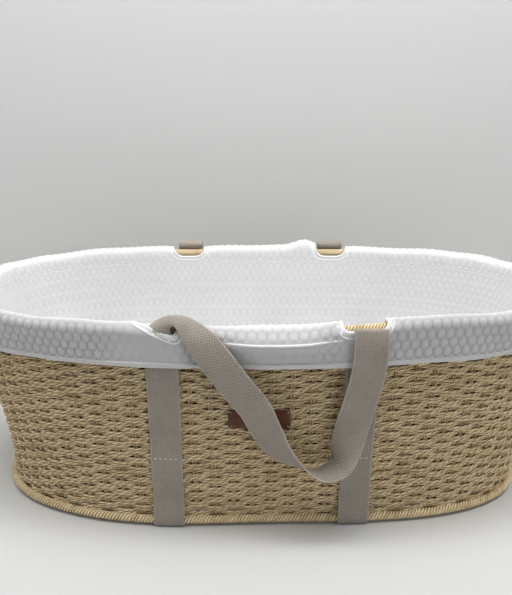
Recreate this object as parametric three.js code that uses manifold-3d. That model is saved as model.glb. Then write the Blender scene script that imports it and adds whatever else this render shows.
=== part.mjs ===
// Moses basket: an oval woven basket with rope-wrapped rims, two girth straps, two carry
// handles, a quilted liner with a cuff that rolls over the rim, and a thin mattress.
// Millimetres, +Z up, +X along the basket, origin on the floor under its centre.
import * as THREE from 'three';
import { mergeVertices } from 'three/addons/utils/BufferGeometryUtils.js';
import Module from 'manifold-3d';

const wasm = await Module();
wasm.setup();

// ---- driving dimensions -------------------------------------------------------------

// The middle of the wicker wall is an oval that widens from the base rim to the top rim.
const TOP_HALF_LENGTH = 405;
const TOP_HALF_WIDTH = 220;
const TOP_SQUARENESS = 2.65;
const BASE_HALF_LENGTH = 369;
const BASE_HALF_WIDTH = 202;
const BASE_SQUARENESS = 3;
const WALL_THICKNESS = 7;
const TURN_STEPS = 48;
const WALL_LEVELS = 3;

const GAP = 0.3;

// Both rims are a hoop wrapped in rope; the wrap is open along a slit on its wall side.
const RIM_RADIUS = 6;
const RIM_WRAP = 2;
const RIM_SLIT_ANGLE = 0.1;
const RIM_STEPS = 6;
const WEBBING_WIDTH = 40;
const WEBBING_THICKNESS = 2;
const STRAP_X = 120;
const BASE_RIM_Z = WEBBING_THICKNESS + GAP + RIM_RADIUS;
const TOP_RIM_Z = 269.5;

const FLOOR_THICKNESS = 5;
const FLOOR_Z = 5;

// Cloth of the liner, and its cuff, which hangs outside the rim.
const CLOTH = 2.8;
const CUFF_INNER_RADIUS = RIM_RADIUS + 0.6;
const CUFF_ARC_STEPS = 6;
const CUFF_SEAM_Z = 256;
const HEM_TOP_Z = 224;
const HEM_HEIGHT = 6;
const BINDING_EXTRA = 0.4;

// Openings in the cuff, where the handles come through.
const OPENING_WIDTH = 58;
const OPENING_BOTTOM_OUTSIDE = 240;
const OPENING_BOTTOM_INSIDE = 260;
const BINDING_WIDTH = 3;
const CUT_REACH = 40;
const CUT_LAP = 0.01;

// Where the straps end, in the cuff's openings.
const STRAP_END_Y = 233;
const STRAP_END_Z = 266.2;
const STRAP_BEND_Z = 258;
const STRAP_STRAIGHT_Z = 244;
const STRAP_LEVELS = [202, 140, 78, 30];
const STRAP_SLACK = 0.05;

// The handles turn about a line that stands clear of the cuff.
const HINGE_Y = 240;

const MATTRESS_INSET = 16;
const MATTRESS_Z = 13.6;
const MATTRESS_COVER = 1.6;
const FOAM_HEIGHT = 32;
const MATTRESS_ROUND = 6;

const LABEL = { width: 77, height: 26, thickness: 2, x: -3, z: 158 };
const STITCH = { width: 34, height: 2.5, thickness: 1, z: 101 };

// ---- colours ------------------------------------------------------------------------

const STRAW = { color: 0xd9c39a, roughness: 0.85 };
const CREAM_WEBBING = { color: 0xb9ada0, roughness: 0.9 };
const WHITE_QUILT = { color: 0xe9eaec, roughness: 0.92 };
const WHITE_BINDING = { color: 0xf3f3f2, roughness: 0.8 };
const HIDDEN_HOOP = { color: 0xa98a5c, roughness: 0.7 };
const BROWN_LEATHER = { color: 0x6b2f1b, roughness: 0.6 };
const STITCH_THREAD = { color: 0xf1ece2, roughness: 0.8 };
const FOAM = { color: 0xf4eed8, roughness: 1 };

const basket = new THREE.Group();

function addPart(name, geometry, finish) {
  const material = new THREE.MeshStandardMaterial({ ...finish, metalness: 0 });
  const mesh = new THREE.Mesh(geometry, material);
  mesh.name = name;
  basket.add(mesh);
  return mesh;
}

// ---- the oval -----------------------------------------------------------------------

// Half-axes and squareness of the wall's middle at a height.
function ovalAt(height) {
  const rise = (height - BASE_RIM_Z) / (TOP_RIM_Z - BASE_RIM_Z);
  return {
    halfLength: THREE.MathUtils.lerp(BASE_HALF_LENGTH, TOP_HALF_LENGTH, rise),
    halfWidth: THREE.MathUtils.lerp(BASE_HALF_WIDTH, TOP_HALF_WIDTH, rise),
    power: THREE.MathUtils.lerp(BASE_SQUARENESS, TOP_SQUARENESS, rise),
  };
}

// The point at an angle round the oval, moved outward square to it.
function ovalPoint(turn, height, outward) {
  const { halfLength, halfWidth, power } = ovalAt(height);
  const along = Math.cos(turn);
  const across = Math.sin(turn);
  const reach = (Math.abs(along) ** power + Math.abs(across) ** power) ** (-1 / power);
  const normal = new THREE.Vector2(
    (Math.sign(along) * Math.abs(along) ** (power - 1)) / halfLength,
    (Math.sign(across) * Math.abs(across) ** (power - 1)) / halfWidth,
  ).normalize();
  return new THREE.Vector2(halfLength * reach * along, halfWidth * reach * across)
    .addScaledVector(normal, outward);
}

// How far the wall's middle stands from the long axis at a place along the basket.
function wallY(x, height) {
  const { halfLength, halfWidth, power } = ovalAt(height);
  return halfWidth * (1 - Math.abs(x / halfLength) ** power) ** (1 / power);
}

// A lathe whose turn is bent to the oval. The profile holds [outward, height] points, and
// ON_AXIS stands for a point on the upright axis. With shapeZ the oval is the one at that
// height all the way up, so the sides are upright.
const LATHE_RADIUS = 100;
const ON_AXIS = -LATHE_RADIUS;

function ovalSolid(profile, shapeZ = null) {
  const points = profile.map(([outward, height]) => new THREE.Vector2(LATHE_RADIUS + outward, height));
  const geometry = new THREE.LatheGeometry(points, TURN_STEPS);
  const position = geometry.attributes.position;
  for (let i = 0; i < position.count; i += 1) {
    const step = Math.floor(i / points.length) % TURN_STEPS;
    const [outward, height] = profile[i % points.length];
    const place = outward === ON_AXIS
      ? new THREE.Vector2()
      : ovalPoint((step / TURN_STEPS) * 2 * Math.PI, shapeZ ?? height, outward);
    position.setXYZ(i, place.x, place.y, height);
  }
  geometry.computeVertexNormals();
  return geometry;
}

// A closed ring with an upright section that follows the flare of the wall.
function ovalBand(innerOutward, outerOutward, lowZ, highZ, levels) {
  const heights = [];
  for (let i = 0; i <= levels; i += 1) {
    heights.push(THREE.MathUtils.lerp(lowZ, highZ, i / levels));
  }
  const outer = heights.map((height) => [outerOutward, height]);
  const inner = heights.map((height) => [innerOutward, height]).reverse();
  return ovalSolid([...outer, ...inner, outer[0]]);
}

// Points of an arc in the section plane, as [outward, height].
function arc(radius, centreZ, fromAngle, toAngle, steps) {
  const points = [];
  for (let i = 0; i <= steps; i += 1) {
    const angle = THREE.MathUtils.lerp(fromAngle, toAngle, i / steps);
    points.push([radius * Math.cos(angle), centreZ + radius * Math.sin(angle)]);
  }
  return points;
}

// ---- manifold cutting ---------------------------------------------------------------

function toSolid(geometry) {
  const plain = geometry.clone();
  plain.deleteAttribute('normal');
  plain.deleteAttribute('uv');
  const merged = mergeVertices(plain, 1e-4);
  return new wasm.Manifold(new wasm.Mesh({
    numProp: 3,
    vertProperties: new Float32Array(merged.attributes.position.array),
    triVerts: new Uint32Array(merged.index.array),
  }));
}

function toGeometry(solid) {
  const mesh = solid.getMesh();
  const geometry = new THREE.BufferGeometry();
  geometry.setAttribute('position', new THREE.BufferAttribute(mesh.vertProperties, 3));
  geometry.setIndex(new THREE.BufferAttribute(mesh.triVerts, 1));
  geometry.computeVertexNormals();
  return geometry;
}

function boxBetween(low, high) {
  const size = high.map((value, i) => value - low[i]);
  const middle = high.map((value, i) => (value + low[i]) / 2);
  return toSolid(new THREE.BoxGeometry(...size).translate(...middle));
}

// ---- wicker body --------------------------------------------------------------------

function addWall() {
  const bottom = BASE_RIM_Z + RIM_RADIUS + GAP;
  const top = TOP_RIM_Z - RIM_RADIUS - GAP;
  const half = WALL_THICKNESS / 2;
  addPart('wicker_wall', ovalBand(-half, half, bottom, top, WALL_LEVELS), STRAW);
}

function addFloor() {
  const edge = -RIM_RADIUS - GAP;
  const top = FLOOR_Z + FLOOR_THICKNESS;
  const profile = [[ON_AXIS, FLOOR_Z], [edge, FLOOR_Z], [edge, top], [ON_AXIS, top]];
  addPart('wicker_floor', ovalSolid(profile, BASE_RIM_Z), STRAW);
}

// The rope wrap is a tube with a slit, and the hoop is the round core inside it.
function addRim(name, centreZ, slitAngle) {
  const from = slitAngle + RIM_SLIT_ANGLE;
  const to = slitAngle + 2 * Math.PI - RIM_SLIT_ANGLE;
  const outer = arc(RIM_RADIUS, centreZ, from, to, RIM_STEPS);
  const inner = arc(RIM_RADIUS - RIM_WRAP, centreZ, to, from, RIM_STEPS);
  addPart(`${name}_wrap`, ovalSolid([...outer, ...inner, outer[0]]), STRAW);
  const coreRadius = (RIM_RADIUS - RIM_WRAP) * Math.cos(Math.PI / RIM_STEPS) - GAP;
  const core = arc(coreRadius, centreZ, 0, 2 * Math.PI, RIM_STEPS - 1);
  core[core.length - 1] = core[0];
  addPart(`${name}_hoop`, ovalSolid(core), HIDDEN_HOOP);
}

// ---- girth straps -------------------------------------------------------------------

// The strap's middle in the plane across the basket at x: from one handle's end, through the
// cuff opening, down the wall, round the base rim, under the floor, and the same way up.
function strapRoute(x) {
  const onWall = WALL_THICKNESS / 2 + GAP + WEBBING_THICKNESS / 2;
  const roundRim = RIM_RADIUS + GAP + WEBBING_THICKNESS / 2 + STRAP_SLACK;
  const front = (height, outward) => [-wallY(x, height) - outward, height];
  const rimY = wallY(x, BASE_RIM_Z);
  const route = new THREE.Path();
  route.moveTo(-STRAP_END_Y, STRAP_END_Z);
  route.quadraticCurveTo(...front(STRAP_BEND_Z, onWall), ...front(STRAP_STRAIGHT_Z, onWall));
  for (const height of STRAP_LEVELS) {
    route.lineTo(...front(height, onWall));
  }
  route.lineTo(-rimY - roundRim, BASE_RIM_Z + 1);
  route.absarc(-rimY, BASE_RIM_Z, roundRim, Math.PI, 1.5 * Math.PI);
  route.lineTo(0, BASE_RIM_Z - roundRim);
  const half = route.getPoints(5);
  const mirrored = half.slice(0, -1).reverse().map((point) => new THREE.Vector2(-point.x, point.y));
  return [...half, ...mirrored];
}

function addStrap(name, centreX) {
  const lateralSteps = 2;
  const steps = strapRoute(centreX).length - 1;
  const geometry = new THREE.BoxGeometry(
    WEBBING_WIDTH, WEBBING_THICKNESS, steps, lateralSteps, 1, steps,
  );
  const position = geometry.attributes.position;
  const routes = new Map();
  for (let i = 0; i < position.count; i += 1) {
    const x = centreX + position.getX(i);
    if (!routes.has(x)) {
      routes.set(x, strapRoute(x));
    }
    const route = routes.get(x);
    const at = Math.round(position.getZ(i) + steps / 2);
    const ahead = route[Math.min(at + 1, steps)];
    const behind = route[Math.max(at - 1, 0)];
    const tangent = ahead.clone().sub(behind).normalize();
    const side = position.getY(i);
    const y = route[at].x + tangent.y * side;
    const z = Math.max(route[at].y - tangent.x * side, 0);
    position.setXYZ(i, x, y, z);
  }
  geometry.computeVertexNormals();
  addPart(name, geometry, CREAM_WEBBING);
}

// ---- carry handles ------------------------------------------------------------------

// A flat band along a route. Each point of the route is [x, y, z, twist]: twist turns the
// band's width from the plane of the wall (0 and 180) to square to it (90).
function band(route, steps) {
  const curve = new THREE.CatmullRomCurve3(
    route.map(([x, y, z]) => new THREE.Vector3(x, y, z)), false, 'centripetal',
  );
  const twists = new THREE.CatmullRomCurve3(
    route.map(([, , , twist], i) => new THREE.Vector3(i, twist, 0)), false, 'centripetal',
  );
  const geometry = new THREE.BoxGeometry(WEBBING_WIDTH, WEBBING_THICKNESS, steps, 2, 1, steps);
  const position = geometry.attributes.position;
  const square = new THREE.Vector3(0, 1, 0);
  for (let i = 0; i < position.count; i += 1) {
    const along = THREE.MathUtils.clamp(position.getZ(i) / steps + 0.5, 0, 1);
    const tangent = curve.getTangent(along);
    const twist = THREE.MathUtils.degToRad(twists.getPoint(along).y);
    const width = new THREE.Vector3()
      .crossVectors(tangent, square)
      .normalize()
      .multiplyScalar(Math.cos(twist))
      .addScaledVector(square, -Math.sin(twist));
    const face = new THREE.Vector3().crossVectors(tangent, width).normalize();
    const place = curve.getPoint(along)
      .addScaledVector(width, position.getX(i))
      .addScaledVector(face, position.getY(i));
    position.setXYZ(i, place.x, place.y, place.z);
  }
  geometry.computeVertexNormals();
  return geometry;
}

// How a handle comes up to an opening and turns in over the hinge line, as [y, z] offsets.
const HANDLE_END = [[-HINGE_Y, 258], [-HINGE_Y + 1.4, 265.5], [-HINGE_Y + 4.8, 268.4]];
const handleEnd = (x, twist) => HANDLE_END.map(([y, z]) => [x, y, z, twist]);

// The front handle's webbing comes up out of its left opening and bends over to the right.
// This bend stays with the basket when the loop below it swings up in front of it.
function addFrontBend() {
  const behind = -HINGE_Y + 3;
  const route = [
    [-STRAP_X, behind + 2, 269, 0],
    [-117, behind + 1, 277, 0],
    [-101, behind + 0.5, 284.5, 0],
    [-83, behind, 277, 0],
    [-65.8, behind, 257.4, 0],
  ];
  addPart('front_handle_bend', band(route, 18), CREAM_WEBBING);
}

// The loop droops to the right with half a twist and comes up to the right opening.
function addFrontHandle() {
  const proud = -HINGE_Y - 2;
  const low = -HINGE_Y + 5;
  const route = [
    [-64.7, -HINGE_Y, 255.8, 0],
    [-41, proud, 215, 0],
    [-24, proud, 188, 3],
    [2, low - 4, 154, 14],
    [23, low - 1, 121, 35],
    [47, low, 101, 62],
    [74, low, 92, 88],
    [94, low, 103, 118],
    [101, low, 126, 150],
    [107, low - 1, 155, 168],
    [118, low - 3, 200, 178],
    [123, low - 5, 235, 180],
    ...handleEnd(124, 180),
  ];
  addPart('front_handle', band(route, 46), CREAM_WEBBING);
}

// The back handle hangs in a plain loop. Its route is drawn at the front and turned round.
function addBackHandle() {
  const low = -HINGE_Y + 5;
  const route = [
    ...handleEnd(-STRAP_X, 0).reverse(),
    [-118, low - 3, 220, 0],
    [-108, low, 170, 10],
    [-86, low, 130, 36],
    [-50, low, 102, 70],
    [0, low, 92, 90],
    [50, low, 102, 110],
    [86, low, 130, 144],
    [108, low, 170, 170],
    [118, low - 3, 220, 180],
    ...handleEnd(STRAP_X, 180),
  ];
  const handle = addPart('back_handle', band(route, 44), CREAM_WEBBING);
  handle.rotation.z = Math.PI;
}

// ---- pieces sewn on the wall --------------------------------------------------------

// A flat box bent to the front wall. Depth is how far its back stands off the wall's middle.
function wallPatch({ width, height, thickness, x, z }, depth, columns) {
  const geometry = new THREE.BoxGeometry(width, thickness, height, columns, 1, 1);
  const position = geometry.attributes.position;
  for (let i = 0; i < position.count; i += 1) {
    const placeX = x + position.getX(i);
    const placeZ = z + position.getZ(i);
    const outward = depth + thickness / 2 - position.getY(i);
    position.setXYZ(i, placeX, -wallY(placeX, placeZ) - outward, placeZ);
  }
  geometry.computeVertexNormals();
  return geometry;
}

function addLabel() {
  addPart('label_patch', wallPatch(LABEL, WALL_THICKNESS / 2 + GAP, 4), BROWN_LEATHER);
}

function addStrapStitches() {
  const depth = WALL_THICKNESS / 2 + WEBBING_THICKNESS + 2 * GAP + 0.1;
  for (const [side, x] of [['left', -STRAP_X], ['right', STRAP_X]]) {
    addPart(`stitch_front_${side}`, wallPatch({ ...STITCH, x }, depth, 2), STITCH_THREAD);
    const back = addPart(`stitch_back_${side}`, wallPatch({ ...STITCH, x: -x }, depth, 2), STITCH_THREAD);
    back.rotation.z = Math.PI;
  }
}

// ---- liner --------------------------------------------------------------------------

const LINER_OUTER = -WALL_THICKNESS / 2 - 2 * GAP;
const LINER_FLOOR_Z = FLOOR_Z + FLOOR_THICKNESS + GAP;

function addLinerBody() {
  const bottom = BASE_RIM_Z + RIM_RADIUS + GAP;
  const side = ovalBand(LINER_OUTER - CLOTH, LINER_OUTER, bottom, CUFF_SEAM_Z - GAP, WALL_LEVELS);
  addPart('liner_side', side, WHITE_QUILT);
  const edge = -RIM_RADIUS - 2 * GAP;
  const top = LINER_FLOOR_Z + CLOTH;
  const profile = [[ON_AXIS, LINER_FLOOR_Z], [edge, LINER_FLOOR_Z], [edge, top], [ON_AXIS, top]];
  addPart('liner_floor', ovalSolid(profile, BASE_RIM_Z), WHITE_QUILT);
}

// The cuff rises from the seam inside, rolls over the rim and hangs down outside.
function cuffSolid(extra) {
  const outer = CUFF_INNER_RADIUS + CLOTH + extra;
  const inner = CUFF_INNER_RADIUS - extra / 2;
  const profile = [
    [outer, HEM_TOP_Z],
    ...arc(outer, TOP_RIM_Z, 0, Math.PI, CUFF_ARC_STEPS),
    [-outer, CUFF_SEAM_Z],
    [-inner, CUFF_SEAM_Z],
    ...arc(inner, TOP_RIM_Z, Math.PI, 0, CUFF_ARC_STEPS),
    [inner, HEM_TOP_Z],
    [outer, HEM_TOP_Z],
  ];
  return toSolid(ovalSolid(profile));
}

// The room that one opening takes out of the cuff, shrunk by inset on every edge.
function openingSolid(centreX, side, inset) {
  const halfWidth = OPENING_WIDTH / 2 - inset;
  const rimY = wallY(centreX, TOP_RIM_Z);
  const acrossY = (low, high) => [Math.min(side * low, side * high), Math.max(side * low, side * high)];
  const [outsideLow, outsideHigh] = acrossY(rimY, rimY + CUT_REACH);
  const [insideLow, insideHigh] = acrossY(rimY - CUT_REACH, rimY + CUT_LAP);
  const outside = boxBetween(
    [centreX - halfWidth, outsideLow, OPENING_BOTTOM_OUTSIDE + inset],
    [centreX + halfWidth, outsideHigh, TOP_RIM_Z + CUT_REACH],
  );
  const inside = boxBetween(
    [centreX - halfWidth, insideLow, OPENING_BOTTOM_INSIDE + inset],
    [centreX + halfWidth, insideHigh, TOP_RIM_Z + CUT_REACH],
  );
  return outside.add(inside);
}

function addCuff() {
  const bindingStock = cuffSolid(BINDING_EXTRA);
  let cuff = cuffSolid(0);
  for (const [depthName, side] of [['front', -1], ['back', 1]]) {
    for (const [widthName, centreX] of [['left', -STRAP_X], ['right', STRAP_X]]) {
      cuff = cuff.subtract(openingSolid(centreX, side, 0));
      const binding = bindingStock
        .intersect(openingSolid(centreX, side, GAP))
        .subtract(openingSolid(centreX, side, BINDING_WIDTH));
      addPart(`binding_${depthName}_${widthName}`, toGeometry(binding), WHITE_BINDING);
    }
  }
  addPart('liner_cuff', toGeometry(cuff), WHITE_QUILT);
  const inner = CUFF_INNER_RADIUS - BINDING_EXTRA / 2;
  const outer = CUFF_INNER_RADIUS + CLOTH + BINDING_EXTRA;
  const hem = ovalBand(inner, outer, HEM_TOP_Z - GAP - HEM_HEIGHT, HEM_TOP_Z - GAP, 1);
  addPart('cuff_hem', hem, WHITE_BINDING);
}

// ---- mattress -----------------------------------------------------------------------

// A foam pad between a cover tray and a cover cap, whose skirts meet at a seam line.
function addMattress() {
  const edge = -MATTRESS_INSET;
  const skin = edge - MATTRESS_COVER;
  const bottom = MATTRESS_Z;
  const top = bottom + 2 * MATTRESS_COVER + 2 * GAP + FOAM_HEIGHT;
  const seam = (bottom + top) / 2;
  const tray = [
    [ON_AXIS, bottom],
    [edge - MATTRESS_ROUND, bottom],
    [edge, bottom + MATTRESS_ROUND],
    [edge, seam - GAP / 2],
    [skin, seam - GAP / 2],
    [skin, bottom + MATTRESS_ROUND],
    [skin - MATTRESS_ROUND, bottom + MATTRESS_COVER],
    [ON_AXIS, bottom + MATTRESS_COVER],
  ];
  const flip = ([outward, height]) => [outward, bottom + top - height];
  const cap = tray.map(flip).reverse();
  addPart('mattress_cover_base', ovalSolid(tray, BASE_RIM_Z), WHITE_QUILT);
  addPart('mattress_cover_top', ovalSolid(cap, BASE_RIM_Z), WHITE_QUILT);
  const inset = skin - GAP;
  const foamBottom = bottom + MATTRESS_COVER + GAP;
  const foam = [
    [ON_AXIS, foamBottom],
    [inset - MATTRESS_ROUND, foamBottom],
    [inset, foamBottom + MATTRESS_ROUND],
    [inset, foamBottom + FOAM_HEIGHT - MATTRESS_ROUND],
    [inset - MATTRESS_ROUND, foamBottom + FOAM_HEIGHT],
    [ON_AXIS, foamBottom + FOAM_HEIGHT],
  ];
  addPart('mattress_foam', ovalSolid(foam, BASE_RIM_Z), FOAM);
}

// ---- assembly -----------------------------------------------------------------------

addWall();
addFloor();
addRim('base_rim', BASE_RIM_Z, Math.PI / 2);
addRim('top_rim', TOP_RIM_Z, -Math.PI / 2);
addStrap('strap_left', -STRAP_X);
addStrap('strap_right', STRAP_X);
addFrontBend();
addFrontHandle();
addBackHandle();
addLabel();
addStrapStitches();
addLinerBody();
addCuff();
addMattress();

export default basket;
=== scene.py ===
"""Looks of the moses basket: woven rope wall, laid rope rims, webbing, quilted liner, mattress.

Metres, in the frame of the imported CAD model: +X along the basket, -Y towards the viewer, +Z up.
"""
import math

import bpy
import numpy as np
from mathutils import Matrix, Vector


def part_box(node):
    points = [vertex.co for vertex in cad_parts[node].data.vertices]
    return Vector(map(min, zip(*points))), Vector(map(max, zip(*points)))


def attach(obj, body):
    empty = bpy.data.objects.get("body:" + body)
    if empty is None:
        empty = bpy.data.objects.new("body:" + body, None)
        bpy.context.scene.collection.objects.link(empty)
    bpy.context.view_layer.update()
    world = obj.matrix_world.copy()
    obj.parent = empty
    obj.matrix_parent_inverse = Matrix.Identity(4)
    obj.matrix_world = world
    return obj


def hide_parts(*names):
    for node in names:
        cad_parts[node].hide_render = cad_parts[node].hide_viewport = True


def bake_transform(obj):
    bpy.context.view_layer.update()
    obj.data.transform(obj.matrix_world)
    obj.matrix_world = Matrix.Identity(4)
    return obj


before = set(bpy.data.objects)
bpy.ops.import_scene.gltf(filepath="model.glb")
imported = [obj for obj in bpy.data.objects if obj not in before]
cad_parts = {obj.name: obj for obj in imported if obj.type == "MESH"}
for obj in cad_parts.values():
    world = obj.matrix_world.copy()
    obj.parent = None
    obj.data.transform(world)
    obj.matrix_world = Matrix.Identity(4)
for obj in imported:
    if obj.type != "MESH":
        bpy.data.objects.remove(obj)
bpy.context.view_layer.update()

MM = 0.001
TAU = 2 * math.pi
UP = np.array([0, 0, 1])
RANDOM = np.random.default_rng(7)

# ---- driving dimensions ----

WALL_LOW, WALL_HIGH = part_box("wicker_wall")
FLOOR_LOW, FLOOR_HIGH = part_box("wicker_floor")
LABEL_LOW, LABEL_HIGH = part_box("label_patch")
MATTRESS_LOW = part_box("mattress_cover_base")[0]
MATTRESS_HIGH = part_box("mattress_cover_top")[1]
STRAP_LOW, STRAP_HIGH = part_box("strap_right")
HEM_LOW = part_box("cuff_hem")[0]
LINER_LOW, LINER_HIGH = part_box("liner_side")
OPENING_LOW, OPENING_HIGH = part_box("binding_front_right")

GAP = 0.3 * MM
WALL = 7 * MM
RIM_RADIUS = 6 * MM
TOP_RIM_Z = WALL_HIGH.z + GAP + RIM_RADIUS
BASE_RIM_Z = WALL_LOW.z - GAP - RIM_RADIUS
BASE_SQUARENESS = 3.0
TOP_SQUARENESS = 2.65

STRAP_X = (STRAP_LOW.x + STRAP_HIGH.x) / 2
WEBBING_WIDTH = STRAP_HIGH.x - STRAP_LOW.x
WEBBING = 2 * MM

STAKES = 82
WEFT_ROWS = 35
WEFT_RADIUS = 2.1 * MM
WEFT_LAY = 20 * MM
WEFT_STEP = 2.2 * MM
STAKE_RADIUS = 1.75 * MM
STAKE_LAY = 12 * MM
STAKE_TOP, STAKE_FOOT = 260 * MM, 10 * MM
STAKE_OFFSET = 1.6 * MM
FLOOR_CORD_RADIUS = 1.7 * MM
FLOOR_STAKE_RADIUS = 1.2 * MM
STRAND_LAY = 30 * MM
STRAIGHT_LAY = 900 * MM
WEAVE_DEPTH = 2.6 * MM
STAND_OFF = WEAVE_DEPTH + WEFT_RADIUS + WEBBING / 2 + 0.2 * MM
STRAP_END_Z = 238 * MM
PIPING_RADIUS = 1.6 * MM

CLOTH = 2.0 * MM
QUILT_PITCH = 11.5 * MM
QUILT_HEIGHT = 1.9 * MM
INSIDE_SOFTNESS = 0.55


# ---- the oval ----

def lerp(a, b, t):
    return a + (b - a) * t


def smoothstep(low, high, value):
    t = np.clip((value - low) / (high - low), 0, 1)
    return t * t * (3 - 2 * t)


def xyz(x, y, z):
    """Points from any mix of arrays and numbers."""
    return np.stack(np.broadcast_arrays(x, y, z), axis=-1)


def bump(value, centre, half_width):
    """1 at the centre, falling smoothly to 0 at half_width each side."""
    return 1 - smoothstep(0, 1, np.abs(value - centre) / half_width)


def oval_reach(along, across, power):
    """How far a rounded oval of unit size reaches in a direction."""
    return (np.abs(along) ** power + np.abs(across) ** power) ** (-1 / power)


def oval_edge(share, power):
    """How far out the edge of a rounded oval of unit size is at a share of the way along."""
    return (1 - np.abs(share) ** power) ** (1 / power)


def oval_axes(height):
    """Half-length, half-width and squareness of the wall's middle at a height."""
    rise = (height - BASE_RIM_Z) / (WALL_HIGH.z - BASE_RIM_Z)
    edge = RIM_RADIUS + GAP
    half_length = lerp(FLOOR_HIGH.x + edge, WALL_HIGH.x - WALL / 2, rise)
    half_width = lerp(FLOOR_HIGH.y + edge, WALL_HIGH.y - WALL / 2, rise)
    return half_length, half_width, lerp(BASE_SQUARENESS, TOP_SQUARENESS, rise)


def front_bulge(x, height):
    """The hand-made base stands a little further out at the front left."""
    rise = np.clip((height - BASE_RIM_Z) / (WALL_HIGH.z - BASE_RIM_Z), 0, 1)
    return 9 * MM * bump(x, -165 * MM, 230 * MM) * (1 - rise) ** 1.5


def top_lift(points, height):
    """The soft top edge stands higher at the front, most of all right of the middle."""
    x, y = points[..., 0], points[..., 1]
    lift = 8 * MM * bump(x, 195 * MM, 190 * MM) + 3 * MM * bump(x, -130 * MM, 70 * MM)
    return lift * (y < 0) * smoothstep(90 * MM, TOP_RIM_Z, height)


def waist(height):
    """How far the wall draws in above the base rim, before it flares to the top."""
    return -4 * MM * (1 - smoothstep(30 * MM, 170 * MM, height))


def wall_oval(turn, height, outward=0.0):
    """Points of the woven wall: drawn in above the base, and lifted at the soft top edge."""
    x = oval(turn, height)[..., 0]
    drawn_in = 7 * MM * smoothstep(-230 * MM, -350 * MM, x) * bump(height, 90 * MM, 120 * MM)
    points = oval(turn, height, outward + waist(height) - drawn_in)
    points[..., 2] += top_lift(points, points[..., 2])
    return points


def oval(turn, height, outward=0.0):
    """Points at an angle round the oval, moved outward square to it."""
    turn, height, outward = np.broadcast_arrays(turn, height, outward)
    half_length, half_width, power = oval_axes(height)
    along, across = np.cos(turn), np.sin(turn)
    reach = oval_reach(along, across, power)
    normal_x = np.sign(along) * np.abs(along) ** (power - 1) / half_length
    normal_y = np.sign(across) * np.abs(across) ** (power - 1) / half_width
    size = np.hypot(normal_x, normal_y)
    x, y = half_length * reach * along, half_width * reach * across
    outward = outward + np.where(across < 0, front_bulge(x, height), 0)
    x = x + outward * normal_x / size
    y = y + outward * normal_y / size
    return xyz(x, y, height)


def lengths_along(points):
    """The distance travelled along a row of points, up to each of them."""
    jumps = np.linalg.norm(np.diff(points, axis=0), axis=1)
    return np.concatenate([[0], np.cumsum(jumps)])


def resample(rows, travelled, places):
    """Rows of values at new places along a line, from their values at the old ones."""
    return np.stack([np.interp(places, travelled, column) for column in rows.T], axis=-1)


def wall_y(x, height):
    """How far the wall's middle stands from the long axis at a place along the basket."""
    half_length, half_width, power = oval_axes(height)
    return half_width * oval_edge(x / half_length, power)


TABLE_TURNS = np.linspace(0, TAU, 2881)
TABLE_POINTS = oval(TABLE_TURNS, (TOP_RIM_Z + BASE_RIM_Z) / 2)
TABLE_LENGTHS = lengths_along(TABLE_POINTS)
PERIMETER = TABLE_LENGTHS[-1]


def turn_at(share):
    """The oval's angle at a share of the way round, measured along its edge."""
    whole = np.floor(share)
    return np.interp(share - whole, TABLE_LENGTHS / PERIMETER, TABLE_TURNS) + whole * TAU


def front_y(x, height, side=-1):
    """How far the woven wall's middle stands out at the front (-1) or the back (1)."""
    bulge = front_bulge(x, height) if side < 0 else 0
    return wall_y(x, height) + waist(height) + bulge


def turn_for_x(x, side, height=TOP_RIM_Z):
    """The oval's angle at a place along the front (side -1) or back (side 1) wall."""
    half_length, half_width, _ = oval_axes(height)
    return np.arctan2(side * wall_y(x, height) / half_width, x / half_length)


# ---- meshes from arrays ----

def new_object(name, points, quads, attributes, material, flat_faces=0):
    """A smooth mesh piece, but for its last flat_faces.

    attributes maps a name to one value or one vector per point.
    """
    mesh = bpy.data.meshes.new(name)
    mesh.vertices.add(len(points))
    mesh.vertices.foreach_set("co", np.ascontiguousarray(points, np.float32).ravel())
    mesh.loops.add(quads.size)
    mesh.loops.foreach_set("vertex_index", np.ascontiguousarray(quads, np.int32).ravel())
    mesh.polygons.add(len(quads))
    mesh.polygons.foreach_set("loop_start", np.arange(0, quads.size, 4, dtype=np.int32))
    mesh.polygons.foreach_set("use_smooth", np.arange(len(quads)) < len(quads) - flat_faces)
    mesh.update(calc_edges=True)
    for key, values in attributes.items():
        kind = "FLOAT" if values.ndim == 1 else "FLOAT_VECTOR"
        field = "value" if values.ndim == 1 else "vector"
        layer = mesh.attributes.new(key, kind, "POINT")
        layer.data.foreach_set(field, np.ascontiguousarray(values, np.float32).ravel())
    mesh.materials.append(material)
    piece = bpy.data.objects.new(name, mesh)
    bpy.context.scene.collection.objects.link(piece)
    return piece


def grid_quads(rows, columns, close_rows=False, close_columns=False):
    """Quads of a grid of points numbered row by row."""
    row = np.arange(rows if close_rows else rows - 1)
    column = np.arange(columns if close_columns else columns - 1)
    r, c = np.meshgrid(row, column, indexing="ij")
    r2, c2 = (r + 1) % rows, (c + 1) % columns
    quads = np.stack([r * columns + c, r * columns + c2, r2 * columns + c2, r2 * columns + c], -1)
    return quads.reshape(-1, 4)


def unit(vectors):
    return vectors / np.maximum(np.linalg.norm(vectors, axis=-1, keepdims=True), 1e-12)


def tangents(paths, closed):
    """Unit directions along each path. paths is [path, step, xyz]."""
    if closed:
        return unit(np.roll(paths, -1, axis=1) - np.roll(paths, 1, axis=1))
    return unit(np.gradient(paths, axis=1))


def sheet_normal(sheet):
    """Unit directions square to a sheet of points [row, column, xyz]."""
    return unit(np.cross(unit(np.gradient(sheet, axis=0)), unit(np.gradient(sheet, axis=1))))


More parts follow.
